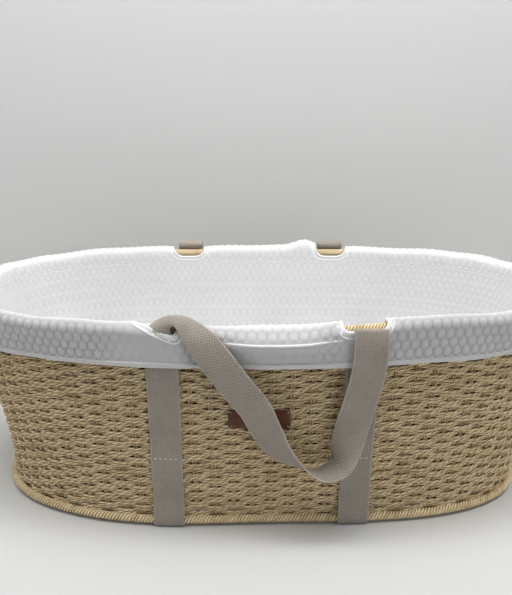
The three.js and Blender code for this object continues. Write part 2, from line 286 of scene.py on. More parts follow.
def rings(side, up, angle):
    """Directions round a path at each of its steps, one for each angle."""
    return side[..., None, :] * np.cos(angle)[..., None] + up[..., None, :] * np.sin(angle)[..., None]


PLY_LOBES = np.array([1, 0.88, 0.66, 0.88, 1, 0.88, 0.66, 0.88])
ROUND_LOBES = np.array([1, 0.98, 0.93, 0.98, 1, 0.98, 0.93, 0.98])


def twisted_cords(name, paths, radius, lay, tone, material, lobes=PLY_LOBES, closed=False,
                  upright=UP, away=None):
    """Two-ply twisted cords along paths [cord, step, xyz], joined in one piece.

    lay is the length of one turn of the plies. away points out of a rim that the cords lie on, and sets
    where painted shade falls on its strands.
    """
    cords, steps, _ = paths.shape
    sides = len(lobes)
    ahead = tangents(paths, closed)
    side = unit(np.cross(ahead, upright))
    up = np.cross(side, ahead)
    jump = np.linalg.norm(np.diff(paths, axis=1, append=paths[:, :1]), axis=-1)
    along = np.concatenate([np.zeros((cords, 1)), np.cumsum(jump, axis=1)[:, :-1]], axis=1)
    total = along[:, -1:] + jump[:, -1:]
    twists = np.round(total / lay) if closed else total / lay
    spin = TAU * twists * along / total + RANDOM.uniform(0, TAU, (cords, 1))
    angle = spin[..., None] + TAU * np.arange(sides) / sides
    ring = rings(side, up, angle)
    points = paths[:, :, None] + ring * (radius * lobes)[:, None]
    one = grid_quads(steps, sides, closed, True)
    quads = (one[None] + np.arange(cords)[:, None, None] * steps * sides).reshape(-1, 4)
    # Painted shade: each cord darkens where its lobes dip in, in the grooves between the plies.
    groove_shade = np.broadcast_to((1 - lobes) / (1 - PLY_LOBES.min()), angle.shape)
    # On a rim, painted shade instead darkens each strand's side that faces into the rim.
    if away is not None:
        groove_shade = np.clip(1.5 - 1.6 * np.sum(ring * away[:, :, None], axis=-1), 0, 1)
    around = radius * TAU * np.arange(sides) / sides
    cord_place = np.arange(cords)[:, None, None] * 0.37
    grain = xyz(along[..., None], around, cord_place)
    attributes = {
        "groove_shade": groove_shade.ravel(),
        "tone": np.broadcast_to(tone[..., None], angle.shape).ravel(),
        "grain": grain.reshape(-1, 3),
    }
    return new_object(name, points.reshape(-1, 3), quads, attributes, material)


def slab(name, outer, thickness, material, cloth=None, closed=False, hole=None, fields=None):
    """A solid sheet of even thickness under a grid of points [row, column, xyz].

    cloth holds each point's place on the flat cloth, in metres. closed joins the last column
    to the first. hole marks quads to leave out. fields holds named values, one per grid point.
    """
    shape = outer.shape[:2]
    down = np.gradient(outer, axis=0)
    right = np.gradient(outer, axis=1)
    if closed:
        right = np.roll(outer, -1, 1) - np.roll(outer, 1, 1)
    inner = outer - unit(np.cross(right, down)) * thickness
    points, faces, edges = closed_pair(outer, inner, closed, hole)
    attributes = {"back": np.repeat([0.0, 1.0], math.prod(shape))}
    for key, values in (fields or {}).items():
        attributes[key] = np.tile(np.broadcast_to(values, shape).ravel(), 2)
    if cloth is not None:
        attributes["cloth"] = np.tile(cloth.reshape(-1, 3), (2, 1))
    points, faces, attributes = drop_loose(points, faces, attributes)
    return new_object(name, points, faces, attributes, material, edges)


def closed_pair(outer, inner, closed=False, hole=None):
    """Points, faces and the number of edge faces of a body between two grids of points."""
    rows, columns, _ = outer.shape
    count = rows * columns
    quads = grid_quads(rows, columns, False, closed)
    if hole is not None:
        quads = quads[~hole.ravel()]
    edge = edge_quads(quads[:, ::-1], count)
    points = np.concatenate([outer.reshape(-1, 3), inner.reshape(-1, 3)])
    return points, np.concatenate([quads, quads[:, ::-1] + count, edge]), len(edge)


def edge_quads(quads, count):
    """Quads that join the open edges of a sheet to the same edges of its other face."""
    starts = quads.ravel()
    ends = np.roll(quads, -1, axis=1).ravel()
    keys = starts.astype(np.int64) * count + ends
    back = ends.astype(np.int64) * count + starts
    open_edge = ~np.isin(keys, back)
    a, b = starts[open_edge], ends[open_edge]
    return np.stack([a, b, b + count, a + count], axis=-1)


def drop_loose(points, faces, attributes):
    """Leaves out the points that no face uses."""
    used = np.zeros(len(points), bool)
    used[faces.ravel()] = True
    index = np.cumsum(used) - 1
    kept = {key: values[used] for key, values in attributes.items()}
    return points[used], index[faces], kept


def smooth_curve(controls, samples):
    """A smooth curve through control rows, evenly sampled along its length in x, y and z."""
    controls = np.asarray(controls, float)
    knots = lengths_along(controls[:, :3])
    gaps = np.diff(knots)
    slopes = np.gradient(controls, knots, axis=0)
    fine = np.linspace(0, knots[-1], samples * 8)
    low = np.clip(np.searchsorted(knots, fine, side="right") - 1, 0, len(gaps) - 1)
    span = gaps[low][:, None]
    t = ((fine - knots[low]) / gaps[low])[:, None]
    curve = (
        (2 * t**3 - 3 * t**2 + 1) * controls[low]
        + (t**3 - 2 * t**2 + t) * span * slopes[low]
        + (3 * t**2 - 2 * t**3) * controls[low + 1]
        + (t**3 - t**2) * span * slopes[low + 1]
    )
    travelled = lengths_along(curve[:, :3])
    places = np.linspace(0, travelled[-1], samples)
    return resample(curve, travelled, places), places


def wobble(shape, share, size, waves=(9, 40)):
    """Smooth random offsets that close on themselves round the basket."""
    total = np.zeros(shape)
    for _ in range(6):
        count = RANDOM.integers(*waves, (shape[0], 1))
        phase = RANDOM.uniform(0, TAU, (shape[0], 1))
        total += np.sin(TAU * count * share + phase)
    return total * size / math.sqrt(3)


# ---- materials ----

class Nodes:
    """Builds one material's node tree in a few short calls."""

    def __init__(self, name, roughness, **sockets):
        self.material = bpy.data.materials.new(name)
        self.material.use_nodes = True
        self.tree = self.material.node_tree
        self.shader = self.tree.nodes["Principled BSDF"]
        self.shader.inputs["Roughness"].default_value = roughness
        for key, value in sockets.items():
            self.shader.inputs[key.replace("_", " ")].default_value = value

    def add(self, kind, inputs=None, **settings):
        node = self.tree.nodes.new(kind)
        for key, value in settings.items():
            setattr(node, key, value)
        for key, value in (inputs or {}).items():
            self.feed(node.inputs[key], value)
        return node

    def feed(self, socket, value):
        if isinstance(value, bpy.types.NodeSocket):
            self.tree.links.new(value, socket)
        else:
            socket.default_value = value

    def attribute(self, name, output="Fac"):
        return self.add("ShaderNodeAttribute", attribute_name=name).outputs[output]

    def math(self, operation, a, b=0.0, c=0.0):
        node = self.add("ShaderNodeMath", operation=operation)
        for socket, value in zip(node.inputs, (a, b, c)):
            self.feed(socket, value)
        return node.outputs[0]

    def scaled(self, vector, scale):
        node = self.add("ShaderNodeVectorMath", {0: vector, 1: scale}, operation="MULTIPLY")
        return node.outputs[0]

    def place(self):
        return self.add("ShaderNodeTexCoord").outputs["Object"]

    def noise(self, vector, scale, detail=2.0, roughness=0.5):
        inputs = {"Vector": vector, "Scale": scale, "Detail": detail, "Roughness": roughness}
        return self.add("ShaderNodeTexNoise", inputs).outputs["Fac"]

    def ramp(self, factor, stops):
        node = self.add("ShaderNodeValToRGB", {"Fac": factor})
        elements = node.color_ramp.elements
        while len(elements) < len(stops):
            elements.new(0.5)
        for element, (place, colour) in zip(elements, stops):
            element.position = place
            element.color = (*colour, 1)
        return node.outputs["Color"]

    def mix(self, factor, a, b):
        node = self.add("ShaderNodeMix", data_type="RGBA")
        self.feed(node.inputs["Factor"], factor)
        for socket, value in ((node.inputs[6], a), (node.inputs[7], b)):
            self.feed(socket, (*value, 1) if isinstance(value, tuple) else value)
        return node.outputs[2]

    def bump(self, height, distance, strength=1.0):
        inputs = {"Height": height, "Distance": distance, "Strength": strength}
        return self.add("ShaderNodeBump", inputs).outputs["Normal"]

    def finish(self, colour, normal=None):
        self.feed(self.shader.inputs["Base Color"], colour)
        if normal is not None:
            self.feed(self.shader.inputs["Normal"], normal)
        return self.material


def rope_material(name, light, middle, dark):
    """Matt twisted paper cord: each cord has its own tone, and painted shade darkens the ply grooves."""
    nodes = Nodes(name, 0.78, Specular_IOR_Level=0.25)
    grain = nodes.attribute("grain", "Vector")
    streaks = nodes.noise(nodes.scaled(grain, (120, 2600, 1)), 1.0, 3.0, 0.6)
    patches = nodes.noise(nodes.place(), 38.0, 3.0, 0.6)
    tone = nodes.math("MULTIPLY_ADD", patches, 0.45, nodes.attribute("tone"))
    tone = nodes.math("ADD", tone, nodes.math("MULTIPLY_ADD", streaks, 0.45, 0.18))
    colour = nodes.ramp(tone, [(0.25, dark), (0.62, middle), (1.0, light)])
    # Painted shade: the cord darkens towards its dark colour in its grooves.
    groove_shade = nodes.math("POWER", nodes.attribute("groove_shade"), 1.4)
    colour = nodes.mix(nodes.math("MULTIPLY", groove_shade, 0.8), colour, dark)
    return nodes.finish(colour, nodes.bump(streaks, 0.35 * MM, 0.7))


def webbing_material(name, light, dark):
    """Cotton webbing: fine basket weave with warp ribs along the tape and firm edges, with painted shade
    in the low points of the weave.
    """
    nodes = Nodes(name, 0.86, Specular_IOR_Level=0.2, Sheen_Weight=0.15)
    cloth = nodes.attribute("cloth", "Vector")
    split = nodes.add("ShaderNodeSeparateXYZ", {0: cloth})
    across, along = split.outputs[0], split.outputs[1]
    wave_across = nodes.math("SINE", nodes.math("MULTIPLY", across, TAU / (2.7 * MM)))
    wave_along = nodes.math("SINE", nodes.math("MULTIPLY", along, TAU / (2.5 * MM)))
    weave = nodes.math("MULTIPLY", wave_across, wave_along)
    ribs = nodes.math("MULTIPLY_ADD", wave_across, 0.1, 0.5)
    height = nodes.math("MULTIPLY_ADD", weave, 0.5, ribs)
    threads = nodes.noise(nodes.scaled(cloth, (900, 300, 1)), 1.0)
    blotch = nodes.noise(nodes.place(), 26.0, 3.0, 0.6)
    # Painted shade: the tone follows the weave's height, so the low points of the weave are darker.
    tone = nodes.math("MULTIPLY_ADD", height, 0.62, nodes.math("MULTIPLY", threads, 0.24))
    tone = nodes.math("MULTIPLY_ADD", blotch, 0.22, tone)
    edge = nodes.math("GREATER_THAN", nodes.math("ABSOLUTE", across), 18.6 * MM)
    tone = nodes.math("MULTIPLY_ADD", edge, 0.16, tone)
    colour = nodes.ramp(tone, [(0.28, dark), (0.82, light)])
    return nodes.finish(colour, nodes.bump(height, 0.9 * MM, 1.0))


def quilt_material(name, light, dark, outside, shadow_backing):
    """White jersey over soft wadding, with painted shade: greyer on the cuff's outside, darker in the
    seams, and a dark brown back face.
    """
    nodes = Nodes(name, 0.9, Specular_IOR_Level=0.2, Sheen_Weight=0.25)
    place = nodes.place()
    drift = nodes.noise(place, 7.0, 2.0)
    knit = nodes.noise(place, 900.0, 2.0, 0.6)
    tone = nodes.math("MULTIPLY_ADD", knit, 0.25, nodes.math("MULTIPLY", drift, 0.75))
    colour = nodes.ramp(tone, [(0.3, dark), (0.7, light)])
    # Painted shade: the shade attribute greys the cuff's outside, which hangs in shadow.
    colour = nodes.mix(nodes.attribute("shade"), colour, outside)
    # Painted shade: the seams between the quilted bubbles are darkened.
    seam = nodes.math("MULTIPLY", nodes.attribute("groove_shade"), 0.5)
    colour = nodes.mix(seam, colour, tuple(0.55 * value for value in outside))
    # Painted shade: the back face is dark brown, so the liner seen through the weave's gaps reads as
    # shadow.
    colour = nodes.mix(nodes.attribute("back"), colour, shadow_backing)
    return nodes.finish(colour, nodes.bump(knit, 0.25 * MM, 0.5))


def tape_material(name, light, dark, ribs=0.9 * MM):
    """Plain woven tape or sewing thread, with fine ribs."""
    nodes = Nodes(name, 0.82, Specular_IOR_Level=0.25)
    fibres = nodes.noise(nodes.place(), 1.0 / ribs, 2.0, 0.7)
    colour = nodes.ramp(fibres, [(0.3, dark), (0.7, light)])
    return nodes.finish(colour, nodes.bump(fibres, 0.2 * MM, 0.6))


def leather_material(name):
    """Brown leather with a pebbled grain and uneven dye."""
    nodes = Nodes(name, 0.55, Specular_IOR_Level=0.4)
    place = nodes.place()
    pebbles = nodes.add("ShaderNodeTexVoronoi", {"Vector": place, "Scale": 900.0})
    stain = nodes.noise(place, 60.0, 4.0, 0.6)
    colour = nodes.ramp(stain, [(0.3, (0.090, 0.024, 0.010)), (0.75, (0.165, 0.052, 0.022))])
    return nodes.finish(colour, nodes.bump(pebbles.outputs["Distance"], 0.3 * MM, 0.5))


def plain_noise_material(name, light, dark, scale, roughness):
    """A hidden structural material with fine mottling."""
    nodes = Nodes(name, roughness)
    mottle = nodes.noise(nodes.place(), scale, 4.0, 0.65)
    colour = nodes.ramp(mottle, [(0.3, dark), (0.7, light)])
    return nodes.finish(colour, nodes.bump(mottle, 0.3 * MM, 0.5))


STRAW = rope_material("straw_rope", (1.0, 0.90, 0.65), (0.91, 0.74, 0.46), (0.26, 0.15, 0.06))
WEBBING_CLOTH = webbing_material("cotton_webbing", (0.62, 0.56, 0.48), (0.18, 0.155, 0.13))
# The quilt's two white tones, the grey of the painted shade on the cuff's outside, and the brown of the
# painted shade on the back face.
QUILT = quilt_material(
    "white_quilt", (0.80, 0.81, 0.81), (0.75, 0.75, 0.74), (0.57, 0.57, 0.57), (0.20, 0.13, 0.07),
)
TAPE = tape_material("white_tape", (0.90, 0.90, 0.90), (0.78, 0.78, 0.78))
# The white tape made darker for the hem band on the cuff's outside: painted shade.
SHADED_HEM_TAPE = tape_material("shaded_white_tape", (0.70, 0.70, 0.70), (0.62, 0.62, 0.62))
THREAD = tape_material("cream_thread", (0.88, 0.86, 0.80), (0.68, 0.65, 0.58), 0.5 * MM)
LEATHER = leather_material("brown_leather")
CANE = plain_noise_material("cane_hoop", (0.50, 0.36, 0.19), (0.28, 0.18, 0.08), 220.0, 0.6)
FOAM = plain_noise_material("foam", (0.90, 0.86, 0.72), (0.78, 0.73, 0.58), 700.0, 0.95)


def place_piece(piece, slot, *nodes, body="basket"):
    """Makes a piece ride on a body and stand for CAD nodes."""
    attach(piece, body)
    if nodes:
        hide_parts(*nodes)


# ---- woven wall ----

def cord_tones(cords, share):
    """A tone per cord, with lighter and darker stretches along it."""
    base = RANDOM.uniform(-0.06, 0.06, (cords, 1))
    return base + wobble((cords, share.size), share, 0.035, (6, 60))


def build_weft():
    """Rows of paired cords, over one stake pair and behind the next, brick fashion."""
    steps = int(PERIMETER / WEFT_STEP)
    share = np.arange(steps) / steps
    cords = 2 * WEFT_ROWS
    row = np.arange(cords)[:, None] // 2
    upper = np.where(np.arange(cords)[:, None] % 2, 1.0, -1.0)
    bottom, top = WALL_LOW.z - 2 * MM, WALL_HIGH.z
    pitch = (top - bottom) / WEFT_ROWS
    wave = np.cos(math.pi * (STAKES * share + row))
    outward = WEAVE_DEPTH * wave + wobble((cords, steps), share, 0.16 * MM)
    spread = pitch / 4 + 0.1 * MM * wave
    height = bottom + (row + 0.5) * pitch + upper * spread
    height = height + wobble((cords, steps), share, 0.17 * MM)
    paths = wall_oval(turn_at(share), height, outward)
    tone = cord_tones(cords, share)
    cords_per_piece = 10
    for first in range(0, cords, cords_per_piece):
        part = slice(first, first + cords_per_piece)
        name = f"weft_rows_{first // cords_per_piece + 1}"
        piece = twisted_cords(
            name, paths[part], WEFT_RADIUS, WEFT_LAY, tone[part], STRAW, closed=True,
        )
        nodes = ["wicker_wall"] if first == 0 else []
        place_piece(piece, "straw", *nodes)


def build_stakes():
    """Upright pairs of cords, from the top rim down behind the base rim."""
    samples = 60
    height = np.linspace(STAKE_TOP, STAKE_FOOT, samples)
    inward = -2.5 * MM * smoothstep(24 * MM, 12 * MM, height)
    pair = np.arange(2 * STAKES) // 2 / STAKES
    side = np.tile([-STAKE_OFFSET, STAKE_OFFSET], STAKES) / PERIMETER
    paths = wall_oval(turn_at(pair + side)[:, None], height, inward)
    tone = RANDOM.uniform(-0.12, 0.02, (len(paths), 1)) * np.ones((1, samples))
    outward = unit(paths.mean(axis=1) * (1, 1, 0))[:, None]
    along_wall = np.cross(outward, (0, 0, 1))
    piece = twisted_cords(
        "stakes", paths, STAKE_RADIUS, STAKE_LAY, tone, STRAW, upright=along_wall,
    )
    place_piece(piece, "straw")


def build_rim(name, height, lead, replaced):
    """A rim of strands laid round the hoop like a rope, once round in each lead."""
    strands = 4
    turns = round(PERIMETER / lead)
    steps = turns * 14
    share = np.arange(steps) / steps
    strand = np.arange(strands)[:, None]
    angle = TAU * (turns * share + strand / strands)
    slant = math.atan(TAU * RIM_RADIUS * 0.75 / lead)
    strand_radius = 0.5 * lead / strands * math.sin(slant)
    lay_radius = RIM_RADIUS - strand_radius
    turn = turn_at(share)
    middle = oval(turn, height)
    paths = oval(turn, height + lay_radius * np.sin(angle), lay_radius * np.cos(angle))
    # away sets the painted shade on the strands: their sides that face into the rim are darkened.
    away = unit(paths - middle)
    paths[..., 2] += top_lift(paths, paths[..., 2])
    tone = cord_tones(strands, share)
    piece = twisted_cords(
        name, paths, strand_radius, STRAND_LAY, tone, STRAW, ROUND_LOBES, closed=True, away=away,
    )
    place_piece(piece, "straw", replaced)


def build_hoop(name, height, radius):
    """The cane hoop inside a rim."""
    steps = 720
    path = oval(turn_at(np.arange(steps) / steps), height)[None]
    path[..., 2] += top_lift(path, path[..., 2])
    tone = np.zeros((1, steps))
    piece = twisted_cords(name, path, radius, STRAIGHT_LAY, tone, CANE, ROUND_LOBES, closed=True)
    place_piece(piece, "hoop", name.replace("cane", "rim"))


def build_floor_weave():
    """The floor: long cords over and under pairs that cross the basket."""
    pitch = 5.3 * MM
    spacing = 25 * MM
    middle = (FLOOR_LOW.z + FLOOR_HIGH.z) / 2
    half_length, half_width = FLOOR_HIGH.x, FLOOR_HIGH.y
    count = int(half_width / pitch)
    y = np.arange(-count, count + 1)[:, None] * pitch
    reach = half_length * oval_edge(y / (half_width + MM), BASE_SQUARENESS)
    x = reach * np.linspace(-1, 1, 160)
    row = np.arange(len(y))[:, None]
    z = middle + 1.6 * MM * np.cos(math.pi * (x / spacing + row))
    paths = xyz(x, y, z)
    tone = RANDOM.uniform(-0.2, 0.1, (len(y), 1)) * np.ones_like(x)
    long_cords = twisted_cords("floor_cords", paths, FLOOR_CORD_RADIUS, STAKE_LAY, tone, STRAW)
    place_piece(long_cords, "straw", "wicker_floor")
    pairs = int(half_length / spacing)
    across = np.repeat(np.arange(-pairs, pairs + 1) * spacing, 2)
    across = across + np.tile([-1.3 * MM, 1.3 * MM], len(across) // 2)
    reach = half_width * oval_edge(across / half_length, BASE_SQUARENESS)
    y = reach[:, None] * np.linspace(-1, 1, 80)
    paths = xyz(across[:, None], y, middle)
    tone = RANDOM.uniform(-0.2, 0.0, (len(y), 1)) * np.ones_like(y)
    cross_cords = twisted_cords("floor_stakes", paths, FLOOR_STAKE_RADIUS, STAKE_LAY, tone, STRAW)
    place_piece(cross_cords, "straw")


# ---- webbing ----

ACROSS = np.linspace(-1, 1, 17)
SELVEDGE = 1 - 0.45 * np.clip((np.abs(ACROSS) - 0.86) / 0.14, 0, 1) ** 2


def webbing_slab(name, middle, normal, along):
    """A tape from its middle surface [step, across, xyz], with its edges rounded off."""
    lift = (WEBBING / 2 * SELVEDGE)[None, :, None]
    points, faces, _ = closed_pair(middle + normal * lift, middle - normal * lift)
    cloth = xyz(ACROSS * WEBBING_WIDTH / 2, along[:, None], 0.0)
    attributes = {"cloth": np.tile(cloth.reshape(-1, 3), (2, 1))}
    return new_object(name, points, faces, attributes, WEBBING_CLOTH)


def strap_profile(x):
    """The strap's middle in the plane across the basket at x, as y, 0, z from front to back."""
    round_rim = 7.4 * MM
    bottom = BASE_RIM_Z - round_rim
    halves = []
    for side in (-1, 1):
        heights = np.array([238, 200, 160, 120, 90, 60, 40]) * MM
        half = [(side * (front_y(x, height, side) + STAND_OFF), 0, height) for height in heights]
        rim_y = wall_y(x, BASE_RIM_Z) + (front_bulge(x, BASE_RIM_Z) if side < 0 else 0)
        half.append((side * (rim_y + 6.6 * MM), 0, BASE_RIM_Z + 10 * MM))
        for angle in np.radians([0, 25, 50, 75, 90]):
            y = rim_y + round_rim * math.cos(angle)
            half.append((side * y, 0, BASE_RIM_Z - round_rim * math.sin(angle)))
        half += [(side * (rim_y - 25 * MM), 0, bottom), (side * rim_y * 0.5, 0, bottom)]
        halves.append(half)
    return halves[0] + [(0, 0, bottom)] + halves[1][::-1]


def build_strap(name, centre_x):
    """One girth strap: down the front wall, under the floor, up the back wall."""
    columns = []
    for place in ACROSS:
        x = centre_x + place * WEBBING_WIDTH / 2
        curve, travelled = smooth_curve(strap_profile(x), 420)
        ripple = 0.25 * MM * np.sin(travelled * 55 + centre_x * 30)
        columns.append(xyz(x + ripple, curve[:, 0], curve[:, 2]))
    middle = np.stack(columns, axis=1)
    middle[..., 2] = np.maximum(middle[..., 2], WEBBING / 2)
    piece = webbing_slab(name, middle, sheet_normal(middle), travelled)
    place_piece(piece, "webbing", name)


def ribbon(route, samples):
    """Middle surface of a tape along a route of x, y, z, twist in millimetres and degrees."""
    controls = np.array(route, float)
    controls[:, :3] *= MM
    curve, travelled = smooth_curve(controls, samples)
    centre, twist = curve[:, :3], np.radians(curve[:, 3])
    ahead = unit(np.gradient(centre, axis=0))
    square = np.array([0.0, 1.0, 0.0])
    level = unit(np.cross(ahead, square))
    width = level * np.cos(twist)[:, None] - square * np.sin(twist)[:, None]
    width = unit(width - ahead * np.sum(width * ahead, axis=1, keepdims=True))
    normal = np.cross(ahead, width)
    places = (ACROSS * WEBBING_WIDTH / 2)[None, :, None]
    middle = centre[:, None] + width[:, None] * places
    return middle, np.broadcast_to(normal[:, None], middle.shape), travelled


# Routes of the carry handles' middle lines: x, y, z in millimetres, and twist in degrees.
FRONT_ROUTE = [
    (-43.8, -242.7, 229.5, 0), (-28, -242.5, 208, 2), (-8, -241, 181, 5), (4, -239, 155, 14),
    (23, -236, 121, 35), (47, -235, 101, 62), (74, -235, 92, 88), (94, -235, 103, 118),
    (102, -235, 126, 150), (108, -236, 155, 168), (119, -238, 200, 178),
    (125, -239.5, 235, 180), (126, -240, 258, 180),
]
BACK_ROUTE = [
    (-120, -240, 258, 0), (-118, -238, 220, 0), (-108, -235, 170, 10), (-86, -235, 130, 36),
    (-50, -235, 102, 70), (0, -235, 92, 90), (50, -235, 102, 110), (86, -235, 130, 144),
    (108, -235, 170, 170), (118, -238, 220, 180), (120, -240, 258, 180),
]

# The rolled left end of the front handle, in millimetres: one edge, the other, and the bulge.
CURL = [
    (-100, -226, 250, -140, -224.5, 250, 0), (-101, -226.8, 262, -140, -224.5, 264, 0.5),
    (-106, -230, 273, -136, -224, 277, 4), (-107, -232.5, 279.5, -125, -214, 283.5, 5),
    (-103, -235, 284, -110, -206, 286.5, 5), (-98.5, -238, 280.5, -93, -206, 286.5, 4),
    (-95, -240, 270.5, -79, -216, 284.5, 3), (-87, -241.5, 259, -62, -230, 278.5, 2),
    (-75, -242.5, 239, -44, -239.5, 263, 1),
]


def build_handle(body, route, turned):
    """One carry handle, drawn at the front and turned round for the back."""
    middle, normal, along = ribbon(route, 260)
    if turned:
        middle = middle * (-1, -1, 1)
        normal = normal * (-1, -1, 1)
    piece = webbing_slab(f"{body}_band", middle, normal, along)
    place_piece(piece, "webbing", body, body=body)
    return middle


# How a strap's end bends at the front, over the cuff, and at the back, over the rim: y and z.
FRONT_BEND = [(227.6, 262), (228.6, 272), (231.5, 279), (236, 279.5), (238.5, 273)]
BACK_BEND = [
    (226.5, 262), (226.2, 271), (219, 279), (216, 283), (221, 287), (231, 285), (238.5, 276),
]


def build_root(name, end_x, side):
    """A strap's end bends out through the cuff opening and down into its handle."""
    centre_x = math.copysign(STRAP_X, end_x)
    wall = front_y(centre_x, STRAP_END_Z, side) + STAND_OFF
    bend = (FRONT_BEND if side < 0 else BACK_BEND) + [(239.6, 266), (240, 258)]
    bend = np.array(bend) * MM
    profile = [(wall, 0, STRAP_END_Z)] + [(y, 0, z) for y, z in bend]
    curve, travelled = smooth_curve(profile, 80)
    share = smoothstep(STRAP_END_Z, 265 * MM, STRAP_END_Z + travelled)
    x = centre_x + ACROSS[None, :] * WEBBING_WIDTH / 2
    curved = front_y(x, STRAP_END_Z, side) + STAND_OFF - wall
    y = curve[:, :1] + (1 - share)[:, None] * curved
    x = x + share[:, None] * (end_x - centre_x)
    middle = xyz(x, side * y, curve[:, 2:])
    piece = webbing_slab(name, middle, sheet_normal(middle), travelled)
    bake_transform(piece)


def build_curl(handle_middle):
    """The front handle's left end: it rolls over the cuff's edge and falls across the wall."""
    rows = np.array(CURL) * MM
    last = np.concatenate([handle_middle[0, 0], handle_middle[0, -1], [0]])
    rows = np.concatenate([rows, last[None]])
    centre = (rows[:, 0:3] + rows[:, 3:6]) / 2
    curve, travelled = smooth_curve(np.concatenate([centre, rows], axis=1), 110)
    inner, outer, bulge = curve[:, 3:6], curve[:, 6:9], curve[:, 9]
    share = ((ACROSS + 1) / 2)[None, :, None]
    middle = lerp(inner[:, None], outer[:, None], share)
    middle = middle + sheet_normal(middle) * (bulge[:, None] * (1 - ACROSS**2))[..., None]
    piece = webbing_slab("root_front_left", middle, sheet_normal(middle), travelled)
    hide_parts("front_handle_bend")
    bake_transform(piece)


def stitch_row(name, points, normals, length, gap, radius, *nodes):
    """A row of raised thread dashes along a line of points on a surface."""
    travelled = lengths_along(points)
    starts = np.arange(gap / 2, travelled[-1] - length, length + gap)
    t = np.linspace(0, 1, 6)
    places = starts[:, None] + t * length
    path = resample(points, travelled, places)
    up = resample(normals, travelled, places)
    path = path + up * (radius * (1.4 * np.sin(math.pi * t) - 0.6))[None, :, None]
    ahead = tangents(path, False)
    side = unit(np.cross(ahead, up))
    over = np.cross(side, ahead)
    angle = TAU * np.arange(6) / 6
    swell = (radius * (0.35 + 0.65 * np.sin(math.pi * t)))[None, :, None, None]
    vertices = path[:, :, None] + rings(side, over, angle) * swell
    one = grid_quads(6, 6, False, True)
    quads = (one[None] + np.arange(len(starts))[:, None, None] * 36).reshape(-1, 4)
    piece = new_object(name, vertices.reshape(-1, 3), quads, {}, THREAD)
    place_piece(piece, "thread", *nodes)


def build_strap_stitches():
    """The row of stitches that holds each strap to the wall, front and back."""
    for side, depth_name in ((-1, "front"), (1, "back")):
        for width_name in ("left", "right"):
            node = f"stitch_{depth_name}_{width_name}"
            low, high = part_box(node)
            height = (low.z + high.z) / 2
            x = np.linspace(low.x, high.x, 30)
            y = front_y(x, height, side) + WEAVE_DEPTH + WEFT_RADIUS + WEBBING + 0.2 * MM
            points = xyz(x, side * y, height)
            normals = np.broadcast_to(np.array([0.0, side, 0.0]), points.shape)
            stitch_row(node.replace("stitch", "thread"), points, normals, 4.4 * MM, 2.0 * MM,
                       0.8 * MM, node)


# ---- liner ----

HEXES_ROUND = round(PERIMETER / QUILT_PITCH)
HEX_WIDTH = PERIMETER / HEXES_ROUND
HEX_ROW = HEX_WIDTH * math.sqrt(3) / 2


def quilt_bubbles(along, across):
    """Height 0..1 of hexagon bubbles on flat cloth, from 0 in the seams."""
    row = np.round(across / HEX_ROW)
    best = np.full(np.broadcast(along, across).shape, np.inf)
    for step in (-1, 0, 1):
        centre_row = row + step
        shift = np.where(np.mod(centre_row, 2) == 1, HEX_WIDTH / 2, 0)
        centre = np.round((along - shift) / HEX_WIDTH) * HEX_WIDTH + shift
        dx = np.abs(along - centre)
        dy = np.abs(across - centre_row * HEX_ROW)
        best = np.minimum(best, np.maximum(dx, dx / 2 + dy * math.sqrt(3) / 2))
    edge = best / (HEX_WIDTH / 2)
    return np.clip(1 - edge**5, 0, 1) ** 0.7


CUFF_RADIUS = 9.4 * MM
CUFF_INSIDE = 13.5 * MM
CUFF_SEAM_Z = TOP_RIM_Z - CUFF_INSIDE
CUFF_ARC = math.pi * CUFF_RADIUS
CUFF_OUTSIDE = TOP_RIM_Z - HEM_LOW.z - 11 * MM
CUFF_LENGTH = CUFF_INSIDE + CUFF_ARC + CUFF_OUTSIDE
QUILTED_LENGTH = CUFF_LENGTH - 4 * MM
HEM_WIDTH = 7 * MM
FOLD_LEFT, FOLD_RIGHT = -70 * MM, 92 * MM
FOLD_EDGE_RADIUS = 1.7 * MM
FOLD_SHARE = 0.585


def cuff_profile(q):
    """Outward and height of the tight cuff at a distance q from its seam inside."""
    angle = np.clip((q - CUFF_INSIDE) / CUFF_RADIUS, 0, math.pi)
    before = np.minimum(q - CUFF_INSIDE, 0)
    after = np.maximum(q - CUFF_INSIDE - CUFF_ARC, 0)
    outward = -CUFF_RADIUS * np.cos(angle) - 0.03 * after
    height = TOP_RIM_Z + CUFF_RADIUS * np.sin(angle) + before - after
    return outward, height


def slackness(x):
    """How much of the slack fold there is at a place along the front."""
    return smoothstep(-78 * MM, 0, x) * (1 - smoothstep(40 * MM, 108 * MM, x))


# The slack cuff's section, in millimetres: outward, 0 and height.
SLACK_SECTION = [
    (-9.4, 0, 256), (-9.4, 0, 269), (-3, 0, 278), (7, 0, 276), (17, 0, 270), (24, 0, 264),
    (26, 0, 261), (24.5, 0, 258.8), (18, 0, 256.5), (14, 0, 251), (12.5, 0, 240), (11, 0, 228.7),
]


def puffed_profile(q):
    """The slack cuff between the front handle's ends: it slopes out to a fold, then tucks under."""
    curve, travelled = smooth_curve(np.array(SLACK_SECTION) * MM, 400)
    puffed = resample(curve, travelled, q / CUFF_LENGTH * travelled[-1])
    return puffed[..., 0], puffed[..., 2]


